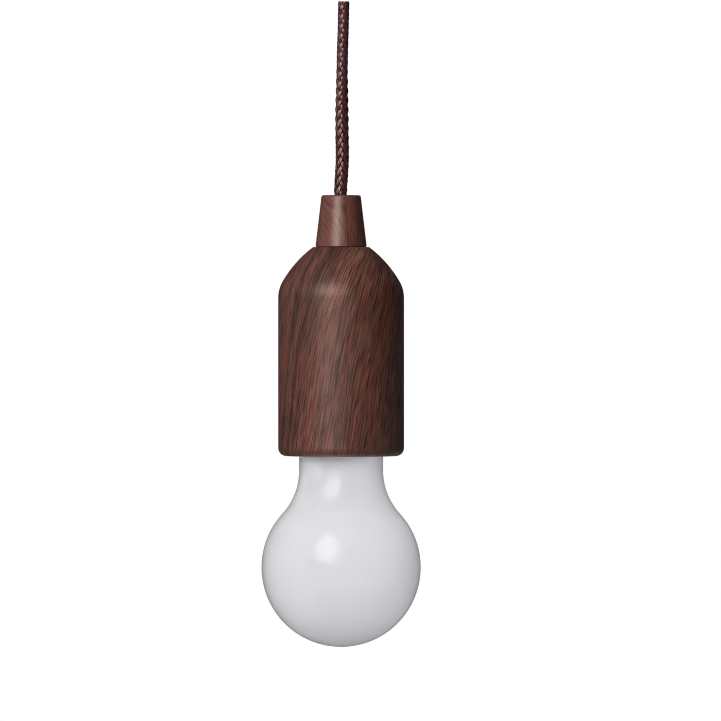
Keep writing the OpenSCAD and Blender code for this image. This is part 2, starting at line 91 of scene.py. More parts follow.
class Value:
    """The output of a shader node. Each operator used on it adds one Math node."""

    def __init__(self, shader, socket):
        self.shader = shader
        self.socket = socket

    __add__ = operation("ADD")
    __radd__ = operation("ADD", swapped=True)
    __sub__ = operation("SUBTRACT")
    __rsub__ = operation("SUBTRACT", swapped=True)
    __mul__ = operation("MULTIPLY")
    __truediv__ = operation("DIVIDE")
    __pow__ = operation("POWER")
    __gt__ = operation("GREATER_THAN")
    __lt__ = operation("LESS_THAN")
    at_least = operation("MAXIMUM")
    at_most = operation("MINIMUM")

    def __abs__(self):
        return self.shader.math("ABSOLUTE", self)


class Shader:
    """Builds the node tree of a material or a world."""

    def __init__(self, owner, output_kind="ShaderNodeOutputMaterial"):
        self.owner = owner
        owner.use_nodes = True
        self.tree = owner.node_tree
        self.tree.nodes.clear()
        self.output = self.tree.nodes.new(output_kind)
        self._place = None

    def put(self, socket, value):
        if isinstance(value, Value):
            self.tree.links.new(value.socket, socket)
        elif isinstance(value, tuple) and len(value) == 3 and socket.type == "RGBA":
            socket.default_value = (*value, 1.0)
        else:
            socket.default_value = value

    def node(self, kind, inputs=None, output=0, **properties):
        """Add a node. The keys of inputs, and output, are socket names or numbers."""
        node = self.tree.nodes.new(kind)
        for key, value in properties.items():
            setattr(node, key, value)
        for key, value in (inputs or {}).items():
            self.put(node.inputs[key], value)
        return Value(self, node.outputs[output])

    def finish(self, surface):
        self.put(self.output.inputs[0], surface)
        return self.owner

    def principled(self, **inputs):
        """Finish with a Principled BSDF. Underscores stand for the spaces in input names."""
        named = {key.replace("_", " "): value for key, value in inputs.items()}
        return self.finish(self.node("ShaderNodeBsdfPrincipled", named))

    def math(self, name, *operands):
        return self.node("ShaderNodeMath", dict(enumerate(operands)), operation=name)

    def place(self):
        """Object coordinates in mm."""
        if self._place is None:
            metres = self.node("ShaderNodeTexCoord", output="Object")
            self._place = self.node("ShaderNodeVectorMath", {0: metres, "Scale": 1000.0},
                                    operation="SCALE")
        return self._place

    def stretched(self, vector, factors):
        return self.node("ShaderNodeVectorMath", {0: vector, 1: factors}, operation="MULTIPLY")

    def xyz(self, x, y, z):
        return self.node("ShaderNodeCombineXYZ", {0: x, 1: y, 2: z})

    def split(self, vector):
        separate = self.node("ShaderNodeSeparateXYZ", {0: vector}).socket.node
        return [Value(self, socket) for socket in separate.outputs]

    def yarn_attribute(self):
        """Across in mm, along in mm, and the yarn's number."""
        vector = self.node("ShaderNodeAttribute", output="Vector", attribute_name="yarn")
        return self.split(vector)

    def noise(self, vector, scale=1.0, detail=2.0, roughness=0.5):
        inputs = {"Vector": vector, "Scale": scale, "Detail": detail, "Roughness": roughness}
        return self.node("ShaderNodeTexNoise", inputs, output="Fac")

    def ramp(self, factor, stops):
        """stops holds (position, colour or grey level)."""
        value = self.node("ShaderNodeValToRGB", {0: factor})
        elements = value.socket.node.color_ramp.elements
        while len(elements) < len(stops):
            elements.new(0.5)
        for element, (position, colour) in zip(elements, stops):
            element.position = position
            grey = isinstance(colour, float)
            element.color = (colour, colour, colour, 1.0) if grey else (*colour, 1.0)
        return value

    def remap(self, value, low, high, to_low=0.0, to_high=1.0, kind="LINEAR"):
        """Carry low..high to to_low..to_high."""
        inputs = dict(enumerate((value, low, high, to_low, to_high)))
        return self.node("ShaderNodeMapRange", inputs, interpolation_type=kind)

    def ease(self, *span):
        """As remap, with smooth ends."""
        return self.remap(*span, kind="SMOOTHSTEP")

    def mix(self, amount, first, second, mode="MIX"):
        return self.node("ShaderNodeMix", {0: amount, 6: first, 7: second}, output=2,
                         data_type="RGBA", blend_type=mode)

    def multiply(self, colour, by):
        return self.mix(1.0, colour, by, "MULTIPLY")

    def mix_number(self, amount, first, second):
        return self.node("ShaderNodeMix", {0: amount, 2: first, 3: second}, data_type="FLOAT")

    def bump(self, height, strength, distance):
        inputs = {"Height": height, "Strength": strength, "Distance": distance}
        return self.node("ShaderNodeBump", inputs)


def new_shader(name):
    return Shader(bpy.data.materials.new(name))


def scaled(colour, factor):
    return tuple(channel * factor for channel in colour)


def brightened(colour, factor):
    return tuple(min(1.0, channel * factor) for channel in colour)


# ---------------------------------------------------------------- woodgrain print
WOOD_ROUGHNESS = 0.43
RED_BROWN = (0.138, 0.0450, 0.0312)
GREY_BROWN = (0.120, 0.0492, 0.0355)
GREEN_BROWN = (0.116, 0.0560, 0.0410)
PORE_BROWN = (0.018, 0.0085, 0.0070)
CONE_GRAIN_LENGTH = 18.0       # the cone's grain is measured from this far below its top
BACK_SHIFT = 68.0              # moves the second print, at the back, to other grain

LATE_WOOD = (                  # place across the grain, half width, darkening
    (-22.4, 1.0, 0.46), (-27.4, 1.1, 0.40), (-24.8, 2.6, 0.06), (-19.1, 1.8, 0.20),
    (-11.9, 3.2, -0.18), (5.6, 0.9, 0.20), (13.8, 5.0, 0.10),
)


def wood_layers(s, across, along, on_housing):
    """Colour, height and tone of the printed grain. across and along are in mm."""
    seed_shift = 0.0 if on_housing else 12.0
    strength = 1.0 if on_housing else 0.72

    def grain(over, freq, seed, detail=1.0, roughness=0.5):
        """Noise with freq (across, along) cycles per mm."""
        vector = s.xyz(over * freq[0], along * freq[1], seed + seed_shift)
        return s.noise(vector, detail=detail, roughness=roughness)

    def line(value, width):
        """1 on the line where the noise crosses its middle, falling to 0 beside it."""
        return s.ease(abs(value - 0.5), width, 0.0)

    # the grain wanders a little as it runs: broad has the long drift, close adds a short one
    drift = grain(across, freq=(0.055, 0.018), seed=3.1, detail=2.0)
    broad = across + (drift - 0.5) * 5.0
    waver = grain(across, freq=(0.30, 0.022), seed=8.7, detail=2.0)
    close = broad + (waver - 0.5) * 0.6

    # broad bands of two browns
    band = grain(broad, freq=(0.16, 0.010), seed=1.3, detail=2.0)
    hue = grain(broad, freq=(0.20, 0.014), seed=5.9, detail=2.0, roughness=0.55)
    middle = grain(close, freq=(0.75, 0.022), seed=2.2, detail=2.0, roughness=0.55)
    colour = s.mix(s.ease(hue, 0.36, 0.64), RED_BROWN, GREY_BROWN)
    tone = band * 0.50 + middle * 0.50
    gain = 1.0 + (tone - 0.5) * 0.48

    # long fine lines that fade in and out, and short dashes between them
    long_fade = s.ease(
        grain(broad, freq=(0.45, 0.07), seed=9.1, detail=2.0, roughness=0.6), 0.40, 0.60)
    short_fade = s.ease(
        grain(broad, freq=(0.40, 0.13), seed=11.3, detail=2.0, roughness=0.6), 0.36, 0.56)
    long_line = line(grain(close, freq=(0.70, 0.010), seed=4.4), width=0.042) * long_fade
    short_line = line(grain(close, freq=(1.30, 0.020), seed=6.4), width=0.085) * short_fade
    dash = s.ease(
        grain(close, freq=(1.85, 0.050), seed=15.2, detail=2.0, roughness=0.6), 0.50, 0.37)
    lesser = (short_line * (0.42 * strength)).at_least(dash * (0.42 * strength))
    dark = (long_line * (0.72 * strength)).at_least(lesser)
    fine = grain(close, freq=(2.5, 0.13), seed=12.9, roughness=0.6)

    # the engraver's even ruling, which swells and dies along each line
    sway = grain(broad, freq=(0.22, 0.018), seed=31.0, detail=2.0)
    rule = s.math("SINE", (close + sway * 2.2) * 5.7)
    swell = s.ease(
        grain(close, freq=(0.9, 0.060), seed=33.0, detail=2.0, roughness=0.6), 0.34, 0.60)
    ruled = s.remap(rule, -0.2, 1.0) * swell

    gain = gain * (1.17 - dark * 0.80)
    gain = gain * (1.10 - ruled * (0.60 * strength))
    gain = gain * (1.0 + (fine - 0.5) * (2.6 * strength))
    gain = gain.at_least(0.12).at_most(1.42)

    if on_housing:
        for place, half_width, darkening in LATE_WOOD:
            offset = (broad - place) + (middle - 0.5) * 2.2
            inside = s.ease(abs(offset), half_width * 1.7, half_width * 0.2)
            gain = gain * (1.0 - inside * darkening)
        # more contrast up the dome, and a greener brown towards the right
        gain = gain ** s.ease(along, 50.0, 64.0, 1.0, 1.18)
        colour = s.mix(s.ease(broad, 7.0, 17.0), colour, GREEN_BROWN)

    # green and blue fall faster than red, so the dark lines look warm
    warmth = grain(close, freq=(1.6, 0.08), seed=21.7, roughness=0.7)
    warm = gain ** 1.12 * (1.0 + (warmth - 0.5) * 0.30)
    colour = s.multiply(colour, s.xyz(gain, warm, warm))

    # short dark pores, in drifts
    tick = grain(close, freq=(1.9, 0.085), seed=7.7)
    drifts = grain(broad, freq=(0.28, 0.020), seed=9.9, detail=2.0)
    pore = s.ease(tick, 0.43, 0.35) * s.ease(drifts, 0.42, 0.60)
    colour = s.mix(pore * (0.60 * strength), colour, PORE_BROWN)
    height = fine * 0.4 - pore.at_least(dark) * 0.7
    return colour, height, tone


def housing_grain(level, arc):
    """Grain places: the path length up the dome, and a lean that grows with it."""
    up_dome = ((level - 54.6) / 17.6).at_least(0.0)
    along = level + up_dome ** 2.3 * 4.4
    lean = along * 0.162 + along.at_least(0.0) ** 3.0 * 1.5e-5
    return arc - lean, along


def cone_grain(s, rise, arc, angle):
    """Grain places on the cone: the grain leans most at the front left."""
    lean = s.math("COSINE", angle + 1.15).at_least(0.0) ** 1.4
    across = arc + (rise * lean) * 0.55
    return across * 1.25 + 40.0, rise * 1.4


def housing_skin(level, radius):
    """1 on the printed outside of the housing and on its two end rims."""
    dome_radius, dome_centre, dome_inset = 39.3, 40.7, 13.83
    wall_radius, skin_depth = 21.75, 1.15
    dome = dome_radius ** 2 - (level - dome_centre) ** 2.0
    dome = dome.at_least(0.0).shader.math("SQRT", dome.at_least(0.0)) - dome_inset
    skin = radius > dome.at_most(wall_radius) - skin_depth
    skin = skin.at_least((level < 1.0) * (radius > 18.59))
    return skin.at_least((level > 71.9) * (radius > 4.99))


def cone_skin(level, rise, radius):
    """1 on the printed outside of the cone and on its top."""
    top_face = level > CONE_TOP - 0.8
    return radius + top_face * 6.0 > 8.1 - rise * 0.1176


def wood_material(name, on_housing):
    s = new_shader(name)
    x, y, z = s.split(s.place())
    level = z - BASE_Z / MM
    toward_front = y * -1.0
    radius = s.math("SQRT", x * x + y * y)
    angle = s.math("ARCTAN2", x, toward_front)     # 0 at the front, positive towards +X
    arc = angle * radius
    if on_housing:
        across, along = housing_grain(level, arc)
        skin = housing_skin(level, radius)
    else:
        rise = level - (CONE_TOP - CONE_GRAIN_LENGTH)
        across, along = cone_grain(s, rise, arc, angle)
        skin = cone_skin(level, rise, radius)

    # the film meets itself at the back: blend over a band so that no cut shows
    colour, height, tone = wood_layers(s, across, along, on_housing)
    back_angle = s.math("ARCTAN2", x * -1.0, y)
    back_across = (across - arc) + (back_angle * radius + BACK_SHIFT)
    back_colour, back_height, back_tone = wood_layers(s, back_across, along, on_housing)
    wobble = (s.noise(s.place(), scale=0.25, detail=3.0) - 0.5) * 0.9
    back = s.ease(abs(angle) + wobble, 2.35, 2.75)
    colour = s.mix(back, colour, back_colour)
    height = s.mix_number(back, height, back_height)
    tone = s.mix_number(back, tone, back_tone)

    # the film's own cloudiness and a fine pebbled clear coat
    cloud = s.noise(s.place(), scale=0.11, detail=3.0, roughness=0.6)
    colour = s.multiply(colour, s.ramp(cloud, [(0.3, 0.92), (0.7, 1.08)]))
    pebble = s.noise(s.place(), scale=2.2, detail=3.0, roughness=0.6)
    micro = s.noise(s.place(), scale=9.0, detail=2.0, roughness=0.5)
    base_roughness = WOOD_ROUGHNESS if on_housing else WOOD_ROUGHNESS - 0.06
    roughness = (pebble * 0.12 + tone * 0.10) + (base_roughness - 0.11)

    # inside faces are bare moulded plastic
    bare = s.mix(s.noise(s.place(), scale=0.6, detail=4.0, roughness=0.6),
                 (0.030, 0.0135, 0.0100), (0.046, 0.0210, 0.0155))
    relief = height * 1.0 + (pebble * 0.8 + micro * 0.25)
    return s.principled(
        Base_Color=s.mix(skin, bare, colour),
        Roughness=s.mix_number(skin, 0.55, roughness),
        IOR=1.5,
        Specular_IOR_Level=0.54 if on_housing else 0.68,
        Specular_Tint=(1.0, 0.86, 0.80),
        Normal=s.bump(relief, strength=0.5, distance=0.00008))


# ---------------------------------------------------------------- other finishes
def opal_material():
    """Opal moulding. Light that enters the shell spreads through it and round the globe."""
    mean_roughness = 0.045
    s = new_shader("opal_shell")
    place = s.place()
    haze = s.noise(place, scale=0.05, detail=3.0)
    flow = s.noise(s.stretched(place, (0.25, 0.25, 0.06)), detail=3.0, roughness=0.55)
    colour = s.mix(haze, (0.852, 0.838, 0.905), (0.885, 0.871, 0.935))
    colour = s.mix(s.remap(flow, 0.45, 0.62) * 0.12, colour, (0.82, 0.805, 0.88))
    grain = s.noise(place, scale=1.3, detail=4.0, roughness=0.6)
    ripple = s.noise(place, scale=0.13) + s.noise(place, scale=6.0) * 0.02
    return s.principled(
        Base_Color=colour,
        Roughness=s.remap(grain, 0.3, 0.7, mean_roughness - 0.01, mean_roughness + 0.02),
        IOR=1.47,
        Specular_IOR_Level=0.29,
        Subsurface_Weight=1.0,
        Subsurface_Radius=(1.0, 1.0, 1.0),
        Subsurface_Scale=0.010,
        Normal=s.bump(ripple, strength=0.05, distance=0.0004))


def plastic(name, base, rough, var, dirt, pebble=4.0, coat=0.0, subsurface=0.0):
    """Moulded plastic: flow clouding, a fine eroded texture, handling marks.

    var is the swing in brightness, dirt the amount of grime, pebble the texture's scale.
    """
    s = new_shader(name)
    place = s.place()
    cloud = s.noise(place, scale=0.22, detail=4.0, roughness=0.6)
    colour = s.mix(s.remap(cloud, 0.3, 0.7), scaled(base, 1 - var), brightened(base, 1 + var))
    grime = s.noise(place, scale=0.9, detail=5.0, roughness=0.7)
    colour = s.mix(s.remap(grime, 0.52, 0.75) * dirt, colour, scaled(base, 0.55))
    texture = s.noise(place, scale=pebble, detail=3.0, roughness=0.6)
    scuff = s.noise(s.stretched(place, (3.0, 0.35, 0.35)), detail=3.0, roughness=0.7)
    roughness = (s.remap(texture, 0.3, 0.7, rough - 0.07, rough + 0.07)
                 + s.remap(scuff, 0.58, 0.7) * -0.10)
    extras = {}
    if subsurface:
        extras.update(Subsurface_Weight=subsurface, Subsurface_Radius=(1.0, 0.8, 0.6),
                      Subsurface_Scale=0.0012)
    if coat:
        extras.update(Coat_Weight=coat, Coat_Roughness=0.12)
    return s.principled(
        Base_Color=colour,
        IOR=1.5,
        Roughness=roughness,
        Normal=s.bump(texture + scuff * 0.3, strength=0.10, distance=0.00006),
        **extras)


def metal(name, base, rough, tarnish, grain_scale, dark=(0.10, 0.08, 0.06)):
    """Drawn, stamped or turned metal. grain_scale sets its grain along x, y and z."""
    s = new_shader(name)
    grain = s.noise(s.stretched(s.place(), grain_scale), detail=4.0, roughness=0.65)
    blot = s.noise(s.place(), scale=0.7, detail=5.0, roughness=0.65)
    colour = s.mix(s.remap(grain, 0.3, 0.7), scaled(base, 0.88), brightened(base, 1.08))
    return s.principled(
        Metallic=1.0,
        Base_Color=s.mix(s.remap(blot, 0.50, 0.72) * tarnish, colour, dark),
        Roughness=(s.remap(grain, 0.3, 0.7, rough - 0.06, rough + 0.08)
                   + s.remap(blot, 0.5, 0.7) * 0.12),
        Normal=s.bump(grain, strength=0.12, distance=0.00003))


def yarn_material(name, dark, mid, light, rough, sheen, filaments, specular, bump,
                  tint=(1.0, 1.0, 1.0), shade_edge=0.0):
    """Twisted filament yarn.

    filaments is their frequency across the yarn. With shade_edge, the distance in mm from the
    middle to a strand's edge, where painted shade is darkest, the yarn number's fraction says
    how far it is on top. The colour then gets painted shade along the edges and where the
    strand dips under.
    """
    s = new_shader(name)
    across, along, tagged = s.yarn_attribute()
    number = s.math("FLOOR", tagged)
    # filaments lie a little askew in the yarn, as it is twisted
    askew = across * 1.0 + along * 0.55
    filament = s.noise(s.xyz(askew * filaments, along * 0.9, number), roughness=0.6)
    wave = s.math("SINE", askew * (filaments * 2.1) + filament * 5.0)
    lump = s.noise(s.xyz(across, along * 0.7, number + 3.3), detail=3.0)
    tone = filament * 0.62 + lump * 0.38
    colour = s.ramp(tone, [(0.32, dark), (0.50, mid), (0.68, light)])
    each_yarn = s.noise(s.xyz(number * 3.7, 0.5, 0.5), detail=0.0)
    colour = s.multiply(colour, s.ramp(each_yarn, [(0.3, 0.86), (0.7, 1.14)]))
    if shade_edge:
        # painted shade: the colour goes towards near black and the specular is dimmed where a
        # strand dips under its neighbours and along its two edges
        on_top = s.ease(tagged - number, 0.08, 0.32)
        seen = on_top * s.ease(abs(across), shade_edge, shade_edge * 0.55)
        shade = s.remap(seen, 0.0, 1.0, 0.30, 1.0)
        colour = s.mix(shade, (0.004, 0.0012, 0.0012), colour)
        specular = s.remap(seen, 0.0, 1.0, 0.15, 1.0) * specular
    return s.principled(
        Base_Color=colour,
        Roughness=s.remap(filament, 0.3, 0.7, rough - 0.08, rough + 0.10),
        IOR=1.5,
        Sheen_Weight=sheen,
        Sheen_Roughness=0.35,
        Sheen_Tint=light,
        Specular_IOR_Level=specular,
        Specular_Tint=tint,
        Normal=s.bump(wave * 0.5 + filament, strength=bump, distance=0.00007))


def spring_material(name, base, rough):
    """Drawn wire: die lines along it, dulled in patches."""
    s = new_shader(name)
    across, along, number = s.yarn_attribute()
    lines = s.noise(s.xyz(across * 34.0, along * 0.35, number), detail=3.0, roughness=0.65)
    blot = s.noise(s.place(), scale=0.8, detail=4.0, roughness=0.6)
    colour = s.mix(s.remap(lines, 0.3, 0.7), scaled(base, 0.84), brightened(base, 1.10))
    return s.principled(
        Base_Color=s.mix(s.remap(blot, 0.50, 0.70) * 0.30, colour, (0.20, 0.16, 0.13)),
        Metallic=1.0,
        Roughness=s.remap(lines, 0.3, 0.7, rough - 0.07, rough + 0.08) + blot * 0.08,
        Anisotropic=0.4,
        Normal=s.bump(lines, strength=0.15, distance=0.00002))


def cell_material(node, degrees, positive_up):
    """A dry cell: printed sleeve in two tones with + and - marks, bare plated ends."""
    mark_inset = 5.0               # from each end to the middle of its mark
    bar_half_length, bar_half_width = 1.3, 0.32
    arc_radius = 5.25              # turns an angle round the cell into mm
    button_radius = 2.15

    s = new_shader(node + "_finish")
    low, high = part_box(node)
    place = s.place()
    x, y, z = s.split(place)
    ring_angle = math.radians(degrees)
    from_x = x - CELL_RING * math.cos(ring_angle)
    from_y = y - CELL_RING * math.sin(ring_angle)
    radius = s.math("SQRT", from_x * from_x + from_y * from_y)
    # height from the negative end, and the length without the last mm
    height = z - low.z / MM if positive_up else high.z / MM - z
    length = (high.z - low.z) / MM - 1.0

    cloud = s.noise(place, scale=0.5, detail=4.0, roughness=0.6)
    scratch = s.noise(s.stretched(place, (1.5, 1.5, 14.0)), detail=4.0, roughness=0.7)
    dark = s.mix(cloud, (0.020, 0.050, 0.085), (0.035, 0.075, 0.120))
    light = s.mix(cloud, (0.46, 0.47, 0.48), (0.60, 0.61, 0.62))
    band = height > length * 0.70
    line = (height > length * 0.67) * (height < length * 0.685)
    sleeve = s.mix(band.at_least(line), dark, light)

    # marks, three times round
    turn = s.math("PINGPONG", s.math("ARCTAN2", from_y, from_x), math.pi / 3)
    arc = (turn - math.pi / 6) * arc_radius

    def bar(half_arc, half_height, middle):
        return (abs(arc) < half_arc) * (abs(height - middle) < half_height)

    plus = bar(bar_half_length, bar_half_width, length - mark_inset).at_least(
        bar(bar_half_width, bar_half_length, length - mark_inset))
    minus = bar(bar_half_length, bar_half_width, mark_inset)
    sleeve = s.mix(plus, sleeve, (0.02, 0.03, 0.04))
    sleeve = s.mix(minus, sleeve, (0.62, 0.63, 0.64))
    sleeve = s.mix(s.remap(scratch, 0.60, 0.72) * 0.35, sleeve, (0.30, 0.30, 0.30))

    negative_end = (height < 0.32) * (radius < 4.55)
    ends = negative_end.at_least((height > length - 0.45) * (radius < button_radius))
    ring = ((height > length - 0.4) * (radius < 4.3)) * (radius > button_radius)
    sleeve = s.mix(ring, sleeve, (0.030, 0.030, 0.032))
    plate = s.mix(s.remap(scratch, 0.35, 0.65), (0.56, 0.53, 0.48), (0.74, 0.71, 0.64))
    return s.principled(
        Base_Color=s.mix(ends, sleeve, plate),
        Metallic=ends,
        Roughness=(s.remap(cloud, 0.3, 0.7, 0.24, 0.34)
                   + s.remap(scratch, 0.5, 0.7) * 0.12),
        IOR=1.5,
        Coat_Weight=0.35 - ends * 0.35,
        Coat_Roughness=0.10,
        Normal=s.bump(cloud + scratch * 0.4, strength=0.12, distance=0.00005))


# ---------------------------------------------------------------- mesh helpers
def new_object(name, geometry, material, body, replaced):
    """geometry is (vertices, faces, yarn attribute), as tube and join_parts return it."""
    verts, faces, yarn = geometry
    mesh = bpy.data.meshes.new(name)
    mesh.from_pydata([tuple(v) for v in verts], [], faces)
    mesh.validate()
    mesh.update()
    mesh.polygons.foreach_set("use_smooth", [True] * len(mesh.polygons))
    attribute = mesh.attributes.new("yarn", "FLOAT_VECTOR", "POINT")
    attribute.data.foreach_set("vector", np.asarray(yarn, np.float32).ravel())
    obj = bpy.data.objects.new(name, mesh)
    bpy.context.scene.collection.objects.link(obj)
    obj.data.materials.append(material)
    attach(obj, body)
    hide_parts(replaced)
    return obj


def carried_normals(tangents):
    """Normals carried along a path without twist, starting square to its first tangent."""
    normal = np.cross(tangents[0], np.array([1.0, 0.0, 0.0]))
    normal /= np.linalg.norm(normal)
    normals = []
    for tangent in tangents:
        normal = normal - tangent * normal.dot(tangent)
        normal /= np.linalg.norm(normal)
        normals.append(normal)
    return np.array(normals)


def tube(path, radii, sides, outward=None, exponent=1.0, number=0.0):
    """Sweep a capped section along path. Returns vertices, faces and the yarn attribute.

    radii is one radius, or (across, out) at each point. outward gives the directions that
    the section's out side faces. An exponent below 1 squares the section.
    """
    count = len(path)
    tangents = np.gradient(path, axis=0)
    tangents /= np.linalg.norm(tangents, axis=1)[:, None]
    if outward is None:
        normals = carried_normals(tangents)
    else:
        normals = outward - tangents * (outward * tangents).sum(1)[:, None]
        normals /= np.linalg.norm(normals, axis=1)[:, None]
    sideways = np.cross(tangents, normals)
    radius_across, radius_out = np.broadcast_to(radii, (count, 2)).T
    lengths = np.linalg.norm(np.diff(path, axis=0), axis=1)
    along = np.concatenate([[0], np.cumsum(lengths)])

    angles = np.linspace(0, 2 * math.pi, sides, endpoint=False)
    cosines, sines = np.cos(angles), np.sin(angles)
    section_across = np.sign(cosines) * np.abs(cosines) ** exponent
    section_out = np.sign(sines) * np.abs(sines) ** exponent
    verts = (path[:, None, :]
             + sideways[:, None, :] * (radius_across[:, None] * section_across)[..., None]
             + normals[:, None, :] * (radius_out[:, None] * section_out)[..., None])
    yarn = np.zeros((count, sides, 3))
    yarn[..., 0] = radius_across[:, None] * cosines / MM
    yarn[..., 1] = along[:, None] / MM
    yarn[..., 2] = np.broadcast_to(number, (count,))[:, None]

    faces = []
    for i in range(count - 1):
        ring, upper = i * sides, (i + 1) * sides
        for j in range(sides):
            k = (j + 1) % sides
            faces.append((ring + j, ring + k, upper + k, upper + j))
    faces.append(tuple(range(sides - 1, -1, -1)))
    faces.append(tuple((count - 1) * sides + j for j in range(sides)))
    return verts.reshape(-1, 3), faces, yarn.reshape(-1, 3)


def join_parts(parts):
    faces = []
    offset = 0
    for verts, part_faces, _ in parts:
        faces.extend(tuple(i + offset for i in face) for face in part_faces)
        offset += len(verts)
    return (np.concatenate([part[0] for part in parts]), faces,
            np.concatenate([part[2] for part in parts]))


# ---------------------------------------------------------------- the braided cord
# A sixteen-carrier braid: eight strands each way, each passing over two and under two.
CARRIERS = 8
LAY = 0.238                    # turn of a strand, in radians per mm of height
BRAID_RADIUS = 1.47            # mean radius of the strands' paths
BRAID_LIFT = 0.33              # how far a strand rises and dips
STRAND_HALF_WIDTH = 0.72
STRAND_HALF_THICKNESS = 0.36
BRAID_SPIN = math.radians(8)   # turn of the whole braid about the cord
BRAID_STEP = 0.25              # height between the strands' sections
CREST_FLATNESS = 1.1           # squares the rise and dip of the weave

FILLER_LAY = 0.12
FILLER_RING = 0.50             # six yarns lie on this radius and the seventh in the middle
FILLER_RADIUS = 0.26
FILLER_STEP = 0.5

CORD_SWAYS = (                 # shift towards +X, and where it starts and ends, 0 to 1
    (0.62, 0.0, 0.20), (-0.16, 0.18, 0.42), (0.10, 0.42, 0.7), (0.52, 0.62, 1.0),
)


def smoothstep(start, end, x):
    t = np.clip((x - start) / (end - start), 0, 1)
    return t * t * (3 - 2 * t)


def cord_fraction(level):
    """0 at the cone's top and below, 1 at the cord's top."""
    return np.clip((level - CONE_TOP) / (CORD_TOP - CONE_TOP), 0, 1)


def cord_axis(level):
    """The limp cord's middle: it leaves the cone upright, then wanders a little."""
    h = cord_fraction(level)
    x = -0.20
    for shift, start, end in CORD_SWAYS:
        x = x + shift * smoothstep(start, end, h)
    x = x * smoothstep(CONE_TOP - 7.0, CONE_TOP + 0.5, level)
    y = 0.25 * np.sin(h * 5.2) * h
    return x, y


def cord_section(level):
    """The braid is a little oval and its long axis turns slowly: two scales and the turn."""
    h = cord_fraction(level)
    turn = (math.radians(90) * smoothstep(0.20, 0.78, h)
            - math.radians(26) * (1 - smoothstep(0.0, 0.16, h)))
    oval = smoothstep(CONE_TOP - 1.4, CONE_TOP + 3.0, level)
    return 1.0 + 0.115 * oval, 1.0 - 0.125 * oval, turn


def cord_point(theta, radius, level):
    """Points in metres at an angle, radius and level in the cord."""
    middle_x, middle_y = cord_axis(level)
    long_scale, short_scale, turn = cord_section(level)
    long_part = radius * np.cos(theta - turn) * long_scale
    short_part = radius * np.sin(theta - turn) * short_scale
    x = middle_x + long_part * np.cos(turn) - short_part * np.sin(turn)
    y = middle_y + long_part * np.sin(turn) + short_part * np.cos(turn)
    return np.stack([x * MM, y * MM, BASE_Z + level * MM], -1)


def weave(theta):
    """1 where a strand is on the crest of the weave, -1 where it is under."""
    wave = -np.cos(CARRIERS / 2 * (theta - math.pi / (2 * CARRIERS)))
    return np.tanh(CREST_FLATNESS * wave) / math.tanh(CREST_FLATNESS)


def braid_strand(i, way, level):
    """Strand i of those that turn one way, which is 1 or -1."""
    # inside the stem the braid is squeezed
    squeeze = 0.89 + 0.11 * smoothstep(CONE_TOP - 1.6, CONE_TOP + 0.2, level)
    theta = 2 * math.pi * i / CARRIERS + way * LAY * (level - CORD_BOTTOM)
    lift = way * weave(theta)
    uneven = 0.02 * np.sin(level * 1.3 + i * 2.1 + way) + 0.015 * np.sin(level * 0.41 + i)
    radius = (BRAID_RADIUS + BRAID_LIFT * lift + uneven) * squeeze
    angle = theta + BRAID_SPIN
    nudge = 0.05
    outward = (cord_point(angle, radius + nudge, level)
               - cord_point(angle, radius - nudge, level))
    on_top = 0.5 + 0.5 * lift
    swell = 1 + 0.05 * np.sin(level * 0.9 + i * 1.7 + way * 2.0)
    half_width = STRAND_HALF_WIDTH * squeeze * swell * (0.90 + 0.10 * on_top) * MM
    half_thickness = STRAND_HALF_THICKNESS * squeeze * MM
    # the number's fraction carries how far the strand is on top, for the painted shade in the
    # yarn's finish
    return tube(cord_point(angle, radius, level), np.stack([half_width, half_thickness], -1),
                sides=14, outward=outward, exponent=0.62,
                number=i + CARRIERS * (way > 0) + 0.4 * on_top)


def build_braid():
    level = np.arange(CORD_BOTTOM, CORD_TOP + 1e-6, BRAID_STEP)
    level[-1] = CORD_TOP
    # the braid's yarn finish paints shade along the strands' edges and where they dip under
    material = yarn_material(
        "cord_yarn_braided", dark=(0.028, 0.0072, 0.0072), mid=(0.072, 0.0206, 0.0206),
        light=(0.142, 0.0485, 0.0480), rough=0.30, sheen=0.03, filaments=3.0,
        specular=0.85, bump=0.05, tint=(1.0, 0.66, 0.66), shade_edge=0.70)
    strands = [braid_strand(i, way, level) for way in (1, -1) for i in range(CARRIERS)]
    new_object("cord_braid_woven", join_parts(strands), material, "cord_set",
               replaced="cord_braid")


def build_filler():
    """Seven loosely twisted yarns inside the braid."""
    material = yarn_material(
        "cord_filler", dark=(0.16, 0.10, 0.085), mid=(0.30, 0.21, 0.18),
        light=(0.46, 0.36, 0.32), rough=0.8, sheen=0.6, filaments=11.0,
        specular=0.2, bump=0.45)
    level = np.arange(CORD_BOTTOM, CORD_TOP - 0.12, FILLER_STEP)
    level[-1] = CORD_TOP - 0.15
    yarns = []
    for i in range(7):
        radius = 0.0 if i == 6 else FILLER_RING
        path = cord_point(2 * math.pi * i / 6 + FILLER_LAY * level, radius, level)
        yarns.append(tube(path, FILLER_RADIUS * MM, sides=8, number=20.0 + i))
    new_object("cord_filler_yarns", join_parts(yarns), material, "cord_set",
               replaced="cord_core")


